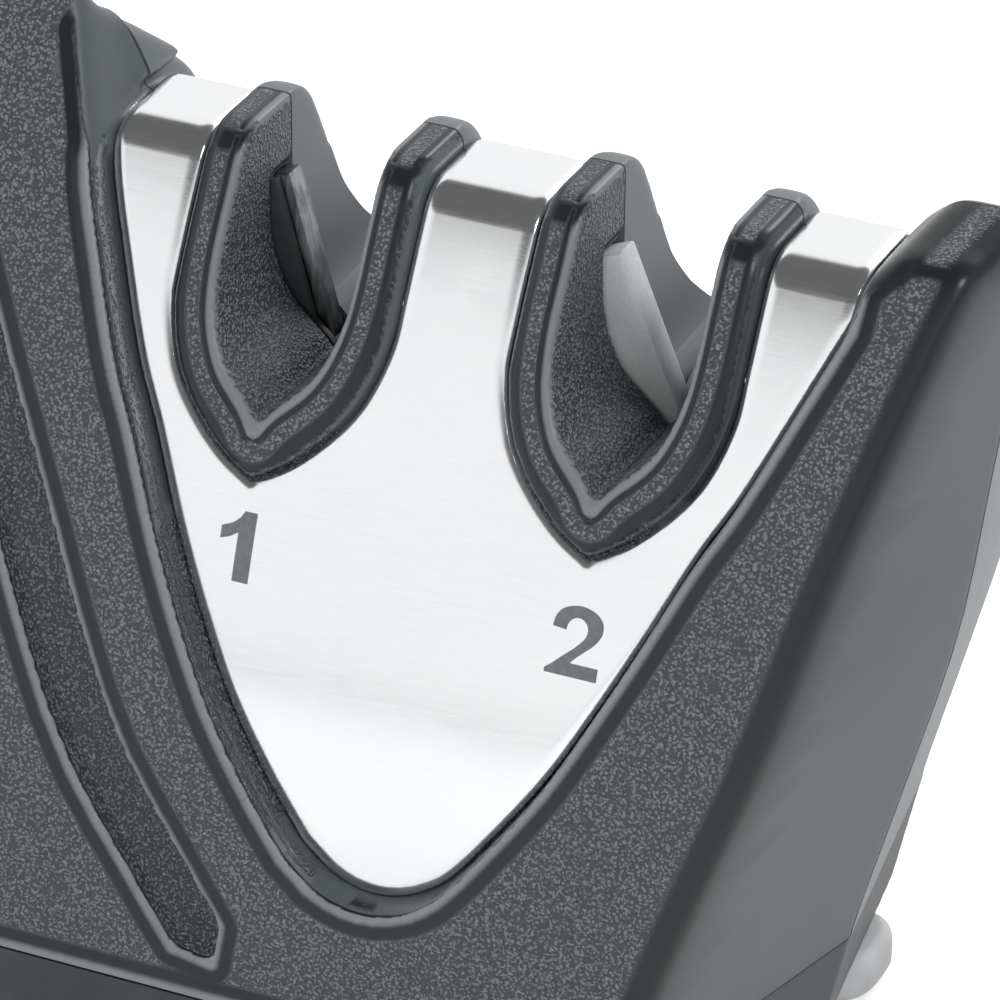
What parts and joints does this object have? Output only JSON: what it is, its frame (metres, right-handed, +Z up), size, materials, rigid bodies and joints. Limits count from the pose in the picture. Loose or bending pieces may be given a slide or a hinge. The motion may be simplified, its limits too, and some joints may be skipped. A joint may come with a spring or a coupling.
{
  "type": "manual knife sharpener",
  "caption": "Pull-through knife sharpener: tall head with V-bottomed slots in a saddle-shaped steel plate, and an arched handle that stands on its own foot.",
  "frame": {"origin": "middle of the whole object's box, on the table that its feet stand on", "axes": "+X from the handle to the head, +Y from the plate at the front to the back, +Z up"},
  "size_m": [0.2124, 0.0596, 0.0915],
  "materials": {
    "shell_plastic": "dark grey moulded plastic with a fine leather grain",
    "inner_plastic": "near-black moulded plastic, lightly textured",
    "cover_steel": "stainless sheet, finely brushed across",
    "carbide": "ground tungsten carbide",
    "ceramic": "fine unglazed sharpening ceramic",
    "screw_steel": "zinc-plated steel",
    "foot_rubber": "pale grey translucent soft rubber"
  },
  "bodies": {
    "root": {"front_shell": "shell_plastic", "rear_shell": "shell_plastic", "steel_cover": "cover_steel", "coarse_holder_front": "inner_plastic", "coarse_holder_rear": "inner_plastic", "fine_holder_front": "inner_plastic", "fine_holder_rear": "inner_plastic", "carbide_bar_left": "carbide", "carbide_bar_right": "carbide", "ceramic_bar_left": "ceramic", "ceramic_bar_right": "ceramic", "holder_screw_1": "screw_steel", "holder_screw_2": "screw_steel", "holder_screw_3": "screw_steel", "holder_screw_4": "screw_steel", "shell_screw_1": "screw_steel", "shell_screw_2": "screw_steel", "shell_screw_3": "screw_steel", "shell_screw_4": "screw_steel", "shell_screw_5": "screw_steel", "shell_screw_6": "screw_steel", "base_screw_1": "screw_steel", "base_screw_2": "screw_steel", "base_screw_3": "screw_steel", "base_screw_4": "screw_steel", "base_screw_5": "screw_steel", "base_screw_6": "screw_steel", "base_tray": "inner_plastic", "handle_end_cap": "inner_plastic", "foot_front_left": "foot_rubber", "foot_front_right": "foot_rubber", "foot_rear_left": "foot_rubber", "foot_rear_right": "foot_rubber", "handle_foot": "foot_rubber"}
  },
  "joints": []
}
